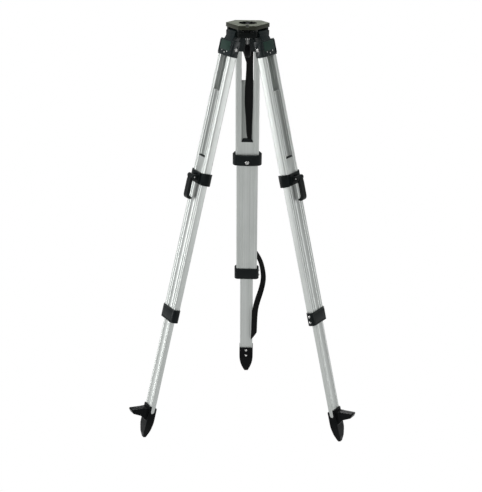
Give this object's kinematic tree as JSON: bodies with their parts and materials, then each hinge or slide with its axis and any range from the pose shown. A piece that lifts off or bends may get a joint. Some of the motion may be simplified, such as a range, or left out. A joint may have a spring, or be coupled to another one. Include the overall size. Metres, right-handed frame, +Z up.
{
  "type": "surveyor tripod",
  "caption": "Aluminium surveyor tripod: truncated triangular head with a central fixing screw on telescopic legs with cam clamps, screw collars and spiked feet.",
  "frame": {"origin": "centre of the head's top face, on the tripod's axis, at the end of the fixing screw", "axes": "+Z up along the tripod axis; the rear leg points along +Y; +X to the right seen from the front"},
  "size_m": [0.7096, 0.6156, 1.2868],
  "materials": {
    "head_metal": "satin enamel over cast aluminium, worn along the edges",
    "shoulder_black": "satin black casting with a slight green tint",
    "leg_aluminium": "satin anodised, drawn along the length",
    "collar_black": "moulded glass-filled nylon, fine grain",
    "lever_black": "moulded glass-filled nylon, smooth",
    "brake_black": "moulded",
    "foot_black": "black casting, satin",
    "knob_black": "moulded, fluted",
    "arm_black": "black zinc plate",
    "bright_steel": "zinc plated, bright",
    "dark_steel": "black oxide",
    "rivet_white": "bright domed rivet",
    "webbing": "woven nylon webbing, black"
  },
  "bodies": {
    "head": {"head_casting": "head_metal", "arm_pivot_screw": "dark_steel", "rear_hinge_bolt": "bright_steel", "left_hinge_bolt": "bright_steel", "right_hinge_bolt": "bright_steel"},
    "arm": {"swing_arm": "arm_black"},
    "slider": {"arm_slider": "bright_steel"},
    "lifter": {"lift_washer": "brake_black"},
    "screw": {"fixing_screw": "bright_steel", "screw_knob": "knob_black"},
    "rear_upper": {"rear_shoulder": "shoulder_black", "rear_shoulder_bolt": "bright_steel", "rear_upper_tube": "leg_aluminium", "rear_clamp_collar": "collar_black", "rear_lever_pin": "bright_steel", "rear_clamp_screw": "bright_steel", "tie_strap": "webbing"},
    "rear_lever": {"rear_clamp_lever": "lever_black"},
    "rear_shoe": {"rear_brake_shoe": "brake_black"},
    "rear_middle": {"rear_middle_tube": "leg_aluminium", "rear_lower_collar": "collar_black", "rear_collar_screw_upper": "bright_steel", "rear_collar_screw_lower": "bright_steel", "carry_strap": "webbing"},
    "rear_lower": {"rear_lower_tube": "leg_aluminium", "rear_foot": "foot_black", "rear_foot_rivet_upper": "rivet_white", "rear_foot_rivet_lower": "rivet_white"},
    "left_upper": {"left_shoulder": "shoulder_black", "left_shoulder_bolt": "bright_steel", "left_upper_tube": "leg_aluminium", "left_clamp_collar": "collar_black", "left_lever_pin": "bright_steel", "left_clamp_screw": "bright_steel"},
    "left_lever": {"left_clamp_lever": "lever_black"},
    "left_shoe": {"left_brake_shoe": "brake_black"},
    "left_middle": {"left_middle_tube": "leg_aluminium", "left_lower_collar": "collar_black", "left_collar_screw_upper": "bright_steel", "left_collar_screw_lower": "bright_steel"},
    "left_lower": {"left_lower_tube": "leg_aluminium", "left_foot": "foot_black", "left_foot_rivet_upper": "rivet_white", "left_foot_rivet_lower": "rivet_white"},
    "right_upper": {"right_shoulder": "shoulder_black", "right_shoulder_bolt": "bright_steel", "right_upper_tube": "leg_aluminium", "right_clamp_collar": "collar_black", "right_lever_pin": "bright_steel", "right_clamp_screw": "bright_steel"},
    "right_lever": {"right_clamp_lever": "lever_black"},
    "right_shoe": {"right_brake_shoe": "brake_black"},
    "right_middle": {"right_middle_tube": "leg_aluminium", "right_lower_collar": "collar_black", "right_collar_screw_upper": "bright_steel", "right_collar_screw_lower": "bright_steel"},
    "right_lower": {"right_lower_tube": "leg_aluminium", "right_foot": "foot_black", "right_foot_rivet_upper": "rivet_white", "right_foot_rivet_lower": "rivet_white"}
  },
  "joints": [
    {"name": "rear_leg_hinge", "type": "hinge", "parent": "head", "child": "rear_upper", "pos_m": [0, 0.043, -0.031], "axis": [1, 0, 0], "range_deg": [-13.5, 20]},
    {"name": "rear_lever_pivot", "type": "hinge", "parent": "rear_upper", "child": "rear_lever", "pos_m": [0, 0.1865, -0.44993], "axis": [1, 0, 0], "range_deg": [0, 120]},
    {"name": "rear_shoe_press", "type": "slide", "parent": "rear_upper", "child": "rear_shoe", "axis": [0, 0.9715, 0.2368], "range_m": [0, 0.0012]},
    {"name": "rear_middle_slide", "type": "slide", "parent": "rear_upper", "child": "rear_middle", "axis": [0, 0.2368, -0.9715], "range_m": [-0.1, 0.2]},
    {"name": "rear_lower_slide", "type": "slide", "parent": "rear_middle", "child": "rear_lower", "axis": [0, 0.2368, -0.9715], "range_m": [-0.26, 0.15], "deforming": ["carry_strap"]},
    {"name": "left_leg_hinge", "type": "hinge", "parent": "head", "child": "left_upper", "pos_m": [-0.03724, -0.0215, -0.031], "axis": [-0.5, 0.866, 0], "range_deg": [-13.5, 20]},
    {"name": "left_lever_pivot", "type": "hinge", "parent": "left_upper", "child": "left_lever", "pos_m": [-0.16152, -0.09325, -0.44993], "axis": [-0.5, 0.866, 0], "range_deg": [0, 120]},
    {"name": "left_shoe_press", "type": "slide", "parent": "left_upper", "child": "left_shoe", "axis": [-0.8414, -0.4858, 0.2368], "range_m": [0, 0.0012]},
    {"name": "left_middle_slide", "type": "slide", "parent": "left_upper", "child": "left_middle", "axis": [-0.2051, -0.1184, -0.9715], "range_m": [-0.1, 0.2]},
    {"name": "left_lower_slide", "type": "slide", "parent": "left_middle", "child": "left_lower", "axis": [-0.2051, -0.1184, -0.9715], "range_m": [-0.26, 0.15]},
    {"name": "right_leg_hinge", "type": "hinge", "parent": "head", "child": "right_upper", "pos_m": [0.03724, -0.0215, -0.031], "axis": [-0.5, -0.866, 0], "range_deg": [-13.5, 20]},
    {"name": "right_lever_pivot", "type": "hinge", "parent": "right_upper", "child": "right_lever", "pos_m": [0.16152, -0.09325, -0.44993], "axis": [-0.5, -0.866, 0], "range_deg": [0, 120]},
    {"name": "right_shoe_press", "type": "slide", "parent": "right_upper", "child": "right_shoe", "axis": [0.8414, -0.4858, 0.2368], "range_m": [0, 0.0012]},
    {"name": "right_middle_slide", "type": "slide", "parent": "right_upper", "child": "right_middle", "axis": [0.2051, -0.1184, -0.9715], "range_m": [-0.1, 0.2]},
    {"name": "right_lower_slide", "type": "slide", "parent": "right_middle", "child": "right_lower", "axis": [0.2051, -0.1184, -0.9715], "range_m": [-0.26, 0.15]},
    {"name": "arm_swing", "type": "hinge", "parent": "head", "child": "arm", "pos_m": [0, -0.048, -0.0155], "axis": [0, 0, 1], "range_deg": [-12, 12]},
    {"name": "slider_travel", "type": "slide", "parent": "arm", "child": "slider", "axis": [0, 1, 0], "range_m": [-0.009, 0.009]},
    {"name": "screw_lift", "type": "slide", "parent": "slider", "child": "lifter", "axis": [0, 0, 1], "range_m": [0, 0.012]},
    {"name": "screw_turn", "type": "hinge", "parent": "lifter", "child": "screw", "pos_m": [0, 0, -0.05], "axis": [0, 0, 1], "continuous": true}
  ],
  "couplings": [
    {"joint": "rear_shoe_press", "follows": "rear_lever_pivot", "m_per_rad": 0.0005},
    {"joint": "left_shoe_press", "follows": "left_lever_pivot", "m_per_rad": 0.0005},
    {"joint": "right_shoe_press", "follows": "right_lever_pivot", "m_per_rad": 0.0005}
  ]
}
